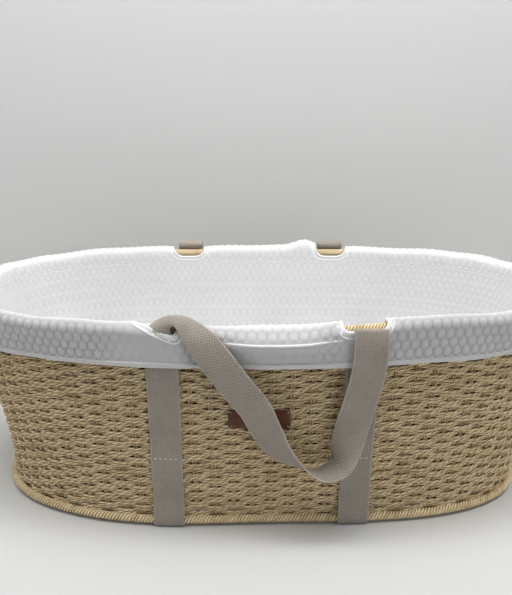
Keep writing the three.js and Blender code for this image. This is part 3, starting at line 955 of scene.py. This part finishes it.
def cuff_point(turn, q, lift=0.0):
    """A point on the cuff's outer face, lifted off it by lift."""
    turn, q, lift = np.broadcast_arrays(turn, q, lift)
    outward, height = cuff_profile(q)
    slack_out, slack_height = puffed_profile(q)
    rim = oval(turn, TOP_RIM_Z)
    x = rim[..., 0]
    front = rim[..., 1] < 0
    slack = slackness(x) * front
    outward = lerp(outward, slack_out, slack)
    height = lerp(height, slack_height, slack)
    on_top = np.sin(np.clip((q - 5 * MM) / (CUFF_INSIDE + CUFF_ARC), 0, 1) * math.pi) ** 2
    unevenness = 1.0 * MM * np.sin(turn * 9 + 1) + 0.7 * MM * np.sin(turn * 23)
    raised_lip = 9 * MM * bump(x, 76 * MM, 36 * MM) * ~front
    lift_share = lerp(1, 0.35, smoothstep(CUFF_INSIDE + CUFF_ARC / 2, CUFF_LENGTH, q))
    height = height + on_top * unevenness + on_top * raised_lip
    height = height + top_lift(rim, np.full_like(x, TOP_RIM_Z)) * lift_share
    hanging = smoothstep(CUFF_INSIDE + 0.55 * CUFF_ARC, CUFF_INSIDE + 1.1 * CUFF_ARC, q)
    outward = outward + 5.2 * MM * bump(np.abs(x), STRAP_X, 62 * MM) * hanging * (1 - slack)
    loose = smoothstep(CUFF_INSIDE + CUFF_ARC, CUFF_LENGTH, q)
    outward = outward + loose * (1.1 * MM * np.sin(turn * 13 + 2) + 0.9 * MM * np.sin(turn * 31))
    base = oval(turn, height, outward)
    if not np.any(lift):
        return base
    step = 1e-3
    along = oval(turn + step, height, outward) - base
    other = cuff_point(turn, q + step) - base
    normal = unit(np.cross(other, along))
    return base + normal * lift[..., None]


class Opening:
    """A rounded opening in the cuff, given by its place, its edges and their slant."""

    def __init__(self, side, x, inside, outside, slant=0.0, corner=9 * MM):
        self.side = side
        self.x = x
        self.inside = inside
        self.length = outside - self.inside
        self.slant = slant
        self.half = np.array([OPENING_HALF, self.length / 2])
        self.round = min(corner, self.length / 2 - 1 * MM)

    def slanted(self, dx, q):
        return q + self.slant * dx * (q - self.inside) / self.length

    def straightened(self, dx, q):
        share = self.slant * np.clip(dx, -45 * MM, 45 * MM) / self.length
        return (q + share * self.inside) / (1 + share)

    def distance(self, points, q):
        """Distance outside the opening's edge, negative inside it."""
        dx = points[..., 0] - self.x
        dq = self.straightened(dx, q) - self.inside - self.length / 2
        over_x = np.abs(dx) - (self.half[0] - self.round)
        over_q = np.abs(dq) - (self.half[1] - self.round)
        outside = np.hypot(np.maximum(over_x, 0), np.maximum(over_q, 0))
        away = outside + np.minimum(np.maximum(over_x, over_q), 0) - self.round
        return np.where(points[..., 1] * self.side > 0, away, 1.0)

    def outline(self, samples):
        """The rounded outline as offsets in x and distance over the cuff."""
        points = []
        for corner, signs in enumerate(((1, 1), (-1, 1), (-1, -1), (1, -1))):
            for angle in np.linspace(0, math.pi / 2, 9) + corner * math.pi / 2:
                ring = np.array([math.cos(angle), math.sin(angle)]) * self.round
                points.append(np.array(signs) * (self.half - self.round) + ring)
        points = np.array(points + points[:1])
        travelled = lengths_along(points)
        return resample(points, travelled, np.linspace(0, travelled[-1], samples, endpoint=False))


OPENING_HALF = (OPENING_HIGH.x - OPENING_LOW.x) / 2 - 1.5 * MM
OPENINGS = {
    "front_left": Opening(-1, -STRAP_X - 5 * MM, 17 * MM, 39 * MM, 0.31),
    "front_right": Opening(-1, STRAP_X - 1 * MM, 11 * MM, 42 * MM),
    "back_left": Opening(1, -STRAP_X - 2 * MM, 8 * MM, 56 * MM, corner=17 * MM),
    "back_right": Opening(1, STRAP_X, 8 * MM, 56 * MM, corner=17 * MM),
}


def opening_distance(turn, q):
    """Distance outside the nearest opening's edge on the cuff, negative inside it."""
    points, q = oval(turn, TOP_RIM_Z), np.asarray(q)
    points = np.broadcast_to(points, np.broadcast_shapes(points.shape[:-1], q.shape) + (3,))
    return np.min([opening.distance(points, q) for opening in OPENINGS.values()], axis=0)


def build_cuff():
    """The quilted cuff in two halves, with its four openings cut out."""
    columns = HEXES_ROUND * 6
    rows = 56
    q = np.linspace(0, QUILTED_LENGTH, rows)[:, None]
    for half, name in ((0, "cuff_back"), (1, "cuff_front")):
        share = (half + np.arange(columns // 2 + 1) / (columns // 2)) / 2
        turn = turn_at(share)[None, :]
        bubbles = quilt_bubbles(share[None, :] * PERIMETER, q)
        away = opening_distance(turn, q)
        # shade marks the cuff's outside, which the quilt material greys as painted shade.
        shade = smoothstep(CUFF_INSIDE + 0.25 * CUFF_ARC, CUFF_INSIDE + 0.7 * CUFF_ARC, q)
        near = smoothstep(2 * MM, 7 * MM, away) * lerp(INSIDE_SOFTNESS, 1, shade)
        x = oval(turn, TOP_RIM_Z)[..., 0]
        stretched = bump(x, -135 * MM, 75 * MM) + bump(x, STRAP_X, 44 * MM)
        near = near * (1 - 0.85 * half * np.clip(stretched, 0, 1) * smoothstep(20 * MM, 32 * MM, q))
        under = smoothstep(FOLD_SHARE - 0.06, FOLD_SHARE - 0.01, q / CUFF_LENGTH)
        near = near * (1 - 0.75 * half * slackness(x) * under)
        outer = cuff_point(turn, q, 1.0 * MM + QUILT_HEIGHT * bubbles * near)
        centre_turn = (turn[:, 1:] + turn[:, :-1]) / 2
        centre_q = (q[1:] + q[:-1]) / 2
        hole = opening_distance(centre_turn, centre_q) < 0
        cloth = xyz(share[None, :] * PERIMETER, q, 0.0)
        # Painted shade in the quilting seams, stronger on the cuff's outside.
        groove_shade = near * lerp(0.35, 1, shade) * (1 - bubbles)
        fields = {"shade": shade[::-1], "groove_shade": groove_shade[::-1]}
        piece = slab(name, outer[::-1], CLOTH, QUILT, cloth[::-1], hole=hole[::-1], fields=fields)
        nodes = ["liner_cuff"] if half else []
        place_piece(piece, "quilt", *nodes)


def build_hem():
    """The flat white band at the cuff's lower edge, with its line of stitches."""
    columns = 900
    share = np.arange(columns) / columns
    turn = turn_at(share)[None, :]
    q = np.linspace(CUFF_LENGTH - HEM_WIDTH, CUFF_LENGTH, 9)[:, None]
    roll = 1.3 * MM * (1 - np.abs(np.linspace(-1, 1, 9)[:, None]) ** 4)
    outer = cuff_point(turn, q, 1.6 * MM + roll)
    # The white hem band takes the darker tape: painted shade.
    piece = slab("cuff_hem_band", outer[::-1], 2.6 * MM, SHADED_HEM_TAPE, closed=True)
    place_piece(piece, "binding", "cuff_hem")
    turn = turn_at(np.arange(2001) / 2000)
    line = cuff_point(turn, CUFF_LENGTH - 5.6 * MM, 2.8 * MM)
    normals = unit(line * (1, 1, 0) * (0.35, 1, 0))
    stitch_row("hem_thread", line, normals, 3 * MM, 1.1 * MM, 0.45 * MM)


def build_fold_edge():
    """The rolled edge that runs along the slack fold to the front right opening."""
    x = np.linspace(FOLD_LEFT, FOLD_RIGHT, 240)
    turn = turn_for_x(x, -1) % TAU
    q = CUFF_LENGTH * FOLD_SHARE
    path = cuff_point(turn, q, 0.8 * MM)[None]
    tone = np.zeros((1, x.size))
    piece = twisted_cords("fold_edge", path, FOLD_EDGE_RADIUS, STRAIGHT_LAY, tone, TAPE, ROUND_LOBES)
    place_piece(piece, "binding")


# The binding's section, in millimetres: how far outside the opening's edge, and how high.
BINDING_SECTION = [
    (-1.4, -2.6), (-2.0, -1.2), (-1.4, 0.6), (-0.2, 1.5), (1.0, 1.3), (1.7, 0.6), (4.4, 0.5),
    (5.0, 1.2), (5.9, 1.5), (6.7, 0.9), (7.0, -0.4), (6.4, -2.2), (3.0, -3.2), (0.6, -3.4),
]


def build_opening_binding(name, opening):
    """Binding tape folded over the edge of one opening: a flat band with a sewn channel."""
    samples = 190
    outline = opening.outline(samples)
    ahead = np.roll(outline, -1, 0) - np.roll(outline, 1, 0)
    outward = unit(np.stack([ahead[:, 1], -ahead[:, 0]], axis=-1))
    section = np.array(BINDING_SECTION) * MM
    offset = outline[:, None] + outward[:, None] * section[None, :, :1]
    turn = np.mod(turn_for_x(opening.x + offset[..., 0], opening.side), TAU)
    q = opening.inside + opening.length / 2 + offset[..., 1]
    q = opening.slanted(offset[..., 0], q)
    lift = np.broadcast_to(section[:, 1] + 0.6 * MM, q.shape)
    points = cuff_point(turn, q, lift)
    quads = grid_quads(samples, len(section), True, True)
    piece = new_object(f"tape_{name}", points.reshape(-1, 3), quads, {}, TAPE)
    place_piece(piece, "binding", f"binding_{name}")


def liner_inward(turn, height):
    """How far the loose liner stands in from the wall's middle."""
    seam = smoothstep(TOP_RIM_Z - 90 * MM, LINER_HIGH.z - 4 * MM, height)
    lean = turn * 7 + height * 16
    folds = 1.2 * np.sin(lean) + 0.8 * np.sin(2.3 * lean + 1) + 0.7 * np.sin(turn * 17 - height * 22)
    sag = np.sin(np.clip(height / LINER_HIGH.z, 0, 1) * math.pi)
    return lerp(9 * MM, CUFF_RADIUS + 0.9 * MM, seam) + (1.5 + 0.9 * folds) * MM * sag


def build_liner_side():
    """The quilted lining of the wall, in a front and a back panel."""
    rows = 100
    panels = 2
    columns = HEXES_ROUND * 5 // panels
    height = np.linspace(LINER_LOW.z, LINER_HIGH.z + 1 * MM, rows)[:, None]
    for panel in range(panels):
        share = (panel + np.arange(columns + 1) / columns) / panels
        turn = turn_at(share)[None, :]
        bubbles = quilt_bubbles(share[None, :] * PERIMETER, height - CUFF_SEAM_Z)
        inward = liner_inward(turn, height) + INSIDE_SOFTNESS * QUILT_HEIGHT * bubbles
        grid = wall_oval(turn, height, -inward)[:, ::-1]
        cloth = xyz(share[None, ::-1] * PERIMETER, height, 0.0)
        # Painted shade in the liner's quilting seams.
        fields = {"groove_shade": 0.35 * (1 - bubbles[:, ::-1])}
        piece = slab(f"liner_panel_{panel + 1}", grid, CLOTH, QUILT, cloth, fields=fields)
        nodes = ["liner_side"] if panel == 0 else []
        place_piece(piece, "quilt", *nodes)


def disc_grid(half_length, half_width, columns, rows, edge=1.0):
    """A grid of points over the basket's oval, as x, y and the share of the way out."""
    u = np.sin(np.linspace(-1, 1, columns) * math.pi / 2 * edge) / math.sin(math.pi / 2 * edge)
    v = np.sin(np.linspace(-1, 1, rows) * math.pi / 2 * edge) / math.sin(math.pi / 2 * edge)
    u, v = np.meshgrid(u, v)
    disc_x = u * np.sqrt(1 - v**2 / 2)
    disc_y = v * np.sqrt(1 - u**2 / 2)
    out = np.hypot(disc_x, disc_y)
    angle = np.arctan2(disc_y, disc_x)
    reach = oval_reach(np.cos(angle), np.sin(angle), BASE_SQUARENESS)
    return half_length * disc_x * reach, half_width * disc_y * reach, out


def build_liner_floor():
    """The quilted oval that lies on the basket's floor."""
    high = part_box("liner_floor")[1]
    x, y, _ = disc_grid(high.x, high.y, 150, 80)
    z = high.z - 0.8 * MM + 0.8 * MM * quilt_bubbles(x, y)
    piece = slab("liner_base", xyz(x, y, z), CLOTH, QUILT, xyz(x, y, 0.0))
    place_piece(piece, "quilt", "liner_floor")


# ---- mattress ----

def build_mattress():
    """A crowned quilted top and a plain base round the foam, with a piped seam between them."""
    half_x, half_y = MATTRESS_HIGH.x, MATTRESS_HIGH.y
    middle = (MATTRESS_LOW.z + MATTRESS_HIGH.z) / 2
    half_height = (MATTRESS_HIGH.z - MATTRESS_LOW.z) / 2
    x, y, out = disc_grid(half_x - 1.5 * MM, half_y - 1.5 * MM, 301, 151, 0.96)
    dome = np.clip(1 - out**9, 0, 1) ** 0.42
    bubbles = quilt_bubbles(x, y) * smoothstep(0.99, 0.93, out)
    puckers = 0.5 * MM * np.sin(np.arctan2(y / half_y, x / half_x) * 90) * smoothstep(0.9, 0.98, out)
    crown = 1.5 * MM * (1 - out**2) + 1.1 * MM * bubbles + puckers * dome
    top = middle + (half_height - 2 * MM) * dome + crown
    base = middle - (half_height - 0.2 * MM) * dome
    cloth = xyz(x, y, 0.0)
    for name, z, order, node in (
        ("mattress_top", top, 1, "mattress_cover_top"), ("mattress_base", base, -1, "mattress_cover_base"),
    ):
        grid = xyz(x, y, z)[::order]
        # Painted shade in the quilting seams of the mattress top.
        fields = {"groove_shade": 0.45 * ((1 - bubbles) * (order > 0))[::order]}
        piece = slab(name, grid, 1.2 * MM, QUILT, cloth[::order], fields=fields)
        place_piece(piece, "quilt", node, body="mattress")
    inset = 4 * MM
    x, y, dome = (grid[::3, ::3] for grid in (x, y, dome))
    x, y = x * (1 - inset / half_x), y * (1 - inset / half_y)
    heights = [middle + sign * (half_height - inset) * dome for sign in (1, -1)]
    points, faces, _ = closed_pair(*(xyz(x, y, z) for z in heights))
    foam = new_object("foam_pad", points, faces, {}, FOAM)
    place_piece(foam, "foam", "mattress_foam", body="mattress")
    build_mattress_piping(half_x - 1.5 * MM, half_y - 1.5 * MM, middle)


def build_mattress_piping(half_x, half_y, height):
    """The round piping sewn into the seam of the mattress cover."""
    angle = np.linspace(0, TAU, 700, endpoint=False)
    reach = oval_reach(np.cos(angle), np.sin(angle), BASE_SQUARENESS)
    path = xyz(half_x * reach * np.cos(angle), half_y * reach * np.sin(angle), height)[None]
    side = unit(np.cross(tangents(path, True)[0], UP))
    ring = rings(side, np.broadcast_to(UP, side.shape), TAU * np.arange(10) / 10)
    points = path[0][:, None] + ring * PIPING_RADIUS
    quads = grid_quads(len(angle), 10, True, True)
    piece = new_object("mattress_piping", points.reshape(-1, 3), quads, {}, TAPE)
    place_piece(piece, "binding", body="mattress")


# ---- leather patch ----

def build_label():
    """A blank leather patch bent to the wall, with a thread loop at each corner."""
    rows, columns = 22, 60
    centre_x = (LABEL_LOW.x + LABEL_HIGH.x) / 2
    centre_z = (LABEL_LOW.z + LABEL_HIGH.z) / 2
    half_x = (LABEL_HIGH.x - LABEL_LOW.x) / 2
    half_z = (LABEL_HIGH.z - LABEL_LOW.z) / 2
    u, v = np.meshgrid(np.linspace(-1, 1, columns), np.linspace(-1, 1, rows))
    corner = 1 - 0.03 * (np.abs(u) ** 12) * (np.abs(v) ** 12)
    x = centre_x + half_x * u * corner
    z = centre_z + half_z * v * corner
    stand_off = WEAVE_DEPTH + WEFT_RADIUS + 1.7 * MM
    edge = np.maximum(np.abs(u) ** 18, np.abs(v) ** 10)
    wave = 0.35 * MM * np.sin(x * 260) * np.sin(z * 500)
    y = -(wall_y(x, z) + stand_off + wave - 0.7 * MM * edge)
    piece = slab("leather_patch", xyz(x, y, z), 1.6 * MM, LEATHER, xyz(x, z, 0.0))
    place_piece(piece, "patch_leather", "label_patch")
    for number, (sx, sz) in enumerate(((-1, -1), (-1, 1), (1, -1), (1, 1))):
        x = centre_x + sx * (half_x - np.array([4.5, 2.2, -1.2]) * MM)
        z = centre_z + sz * (half_z - np.array([4.2, 2.6, 1.2]) * MM)
        y = -(wall_y(x, z) + stand_off - 0.1 * MM)
        points = xyz(x, y, z)
        normals = np.broadcast_to(np.array([0.0, -1.0, 0.0]), points.shape)
        stitch_row(f"patch_thread_{number + 1}", points, normals, 2.6 * MM, 0.5 * MM, 0.5 * MM)


# ---- studio ----

def stage_material(name, colour):
    """A plain pale surface that can be seen through from behind."""
    nodes = Nodes(name, 0.85, Specular_IOR_Level=0.2)
    cloud = nodes.noise(nodes.place(), 2.0, 2.0)
    low = tuple(0.985 * value for value in colour)
    material = nodes.finish(nodes.ramp(cloud, [(0.3, low), (0.7, colour)]))
    clear = nodes.add("ShaderNodeBsdfTransparent").outputs[0]
    behind = nodes.add("ShaderNodeNewGeometry").outputs["Backfacing"]
    mixed = nodes.add("ShaderNodeMixShader", {0: behind, 1: nodes.shader.outputs[0], 2: clear})
    nodes.feed(nodes.tree.nodes["Material Output"].inputs["Surface"], mixed.outputs[0])
    return material


def build_stage():
    """A pale floor that sweeps up into a wall behind the basket, on a larger plain floor."""
    reach = 6.0
    radius = 0.12
    wall_back = 0.42
    profile = [(-reach, 0.0)]
    for angle in np.linspace(-math.pi / 2, 0, 14):
        profile.append((wall_back - radius + radius * math.cos(angle), radius + radius * math.sin(angle)))
    profile.append((wall_back, 2.6))
    ground = [(-reach, -1 * MM), (reach, -1 * MM)]
    material = stage_material("studio_grey", (0.665, 0.67, 0.66))
    for name, line in (("studio_sweep", profile), ("studio_floor", ground)):
        points = [(x, y, z) for y, z in line for x in (-reach, reach)]
        new_object(name, np.array(points), grid_quads(len(line), 2), {}, material)


def add_light(name, place, target, size, power, colour):
    light = bpy.data.lights.new(name, "AREA")
    light.shape = "RECTANGLE"
    light.size, light.size_y = size
    light.energy = power
    light.color = colour
    lamp = bpy.data.objects.new(name, light)
    lamp.location = place
    direction = Vector(target) - Vector(place)
    lamp.rotation_euler = direction.to_track_quat("-Z", "Y").to_euler()
    bpy.context.scene.collection.objects.link(lamp)


# Each lamp's place, the point it faces, its size, its power and its colour.
LAMPS = {
    "overhead": ((0.25, -0.05, 2.3), (0, 0.05, 0.1), (2.6, 1.0), 28, (1.0, 0.99, 0.97)),
    "wall_wash": ((0.1, -0.25, 1.9), (0.1, 0.42, 0.30), (2.4, 0.5), 26, (0.99, 0.99, 1.0)),
    "left_window": ((-2.2, -0.5, 1.5), (0, 0, 0.15), (1.4, 1.4), 8, (0.97, 0.98, 1.0)),
    "right_fill": ((1.6, -2.2, 1.1), (0, 0, 0.15), (1.6, 1.6), 10, (1.0, 0.99, 0.97)),
}
WORLD_GLOW = 0.16
SEEN_WORLD_GLOW = 0.45


def build_lights():
    """Soft lamps, and a dim world that looks brighter where the camera sees it."""
    for name, lamp in LAMPS.items():
        add_light(name, *lamp)
    world = bpy.data.worlds.new("studio")
    world.use_nodes = True
    background = world.node_tree.nodes["Background"]
    background.inputs["Color"].default_value = (0.93, 0.95, 1.0, 1)
    seen = world.node_tree.nodes.new("ShaderNodeLightPath").outputs["Is Camera Ray"]
    strength = world.node_tree.nodes.new("ShaderNodeMath")
    strength.operation = "MULTIPLY_ADD"
    strength.inputs[1].default_value = SEEN_WORLD_GLOW
    strength.inputs[2].default_value = WORLD_GLOW
    world.node_tree.links.new(seen, strength.inputs[0])
    world.node_tree.links.new(strength.outputs[0], background.inputs["Strength"])
    bpy.context.scene.world = world
    bpy.context.scene.view_settings.view_transform = "Standard"


def build_camera():
    """A camera at the front and a little above, that crops both ends of the basket."""
    pitch, roll, yaw = (math.radians(angle) for angle in (20.23, -0.25, -1.03))
    heading = Matrix.Rotation(-yaw, 3, "Z")
    place = heading @ Vector((-0.0276, -1.046, 0.5509))
    data = bpy.data.cameras.new("camera")
    data.sensor_width = 36
    data.lens = 44.95
    data.shift_x, data.shift_y = 0.02303, 0.09244
    camera = bpy.data.objects.new("camera", data)
    turn = heading @ Matrix.Rotation(math.pi / 2 - pitch, 3, "X") @ Matrix.Rotation(roll, 3, "Z")
    camera.matrix_world = Matrix.Translation(place) @ turn.to_4x4()
    bpy.context.scene.collection.objects.link(camera)
    bpy.context.scene.camera = camera


# ---- assembly ----

build_camera()
build_stage()
build_lights()

build_weft()
build_stakes()
build_rim("base_rim_rope", BASE_RIM_Z, 18 * MM, "base_rim_wrap")
build_rim("top_rim_rope", TOP_RIM_Z, 15 * MM, "top_rim_wrap")
build_floor_weave()
build_hoop("base_cane_hoop", BASE_RIM_Z, 3.6 * MM)
build_hoop("top_cane_hoop", TOP_RIM_Z, 3.2 * MM)

build_strap("strap_left", -STRAP_X)
build_strap("strap_right", STRAP_X)
build_strap_stitches()
front_middle = build_handle("front_handle", FRONT_ROUTE, False)
build_handle("back_handle", BACK_ROUTE, True)
build_curl(front_middle)
build_root("root_front_right", 126 * MM, -1)
build_root("root_back_left", -STRAP_X, 1)
build_root("root_back_right", STRAP_X, 1)

build_cuff()
build_hem()
build_fold_edge()
for name, opening in OPENINGS.items():
    build_opening_binding(name, opening)
build_liner_side()
build_liner_floor()
build_mattress()
build_label()
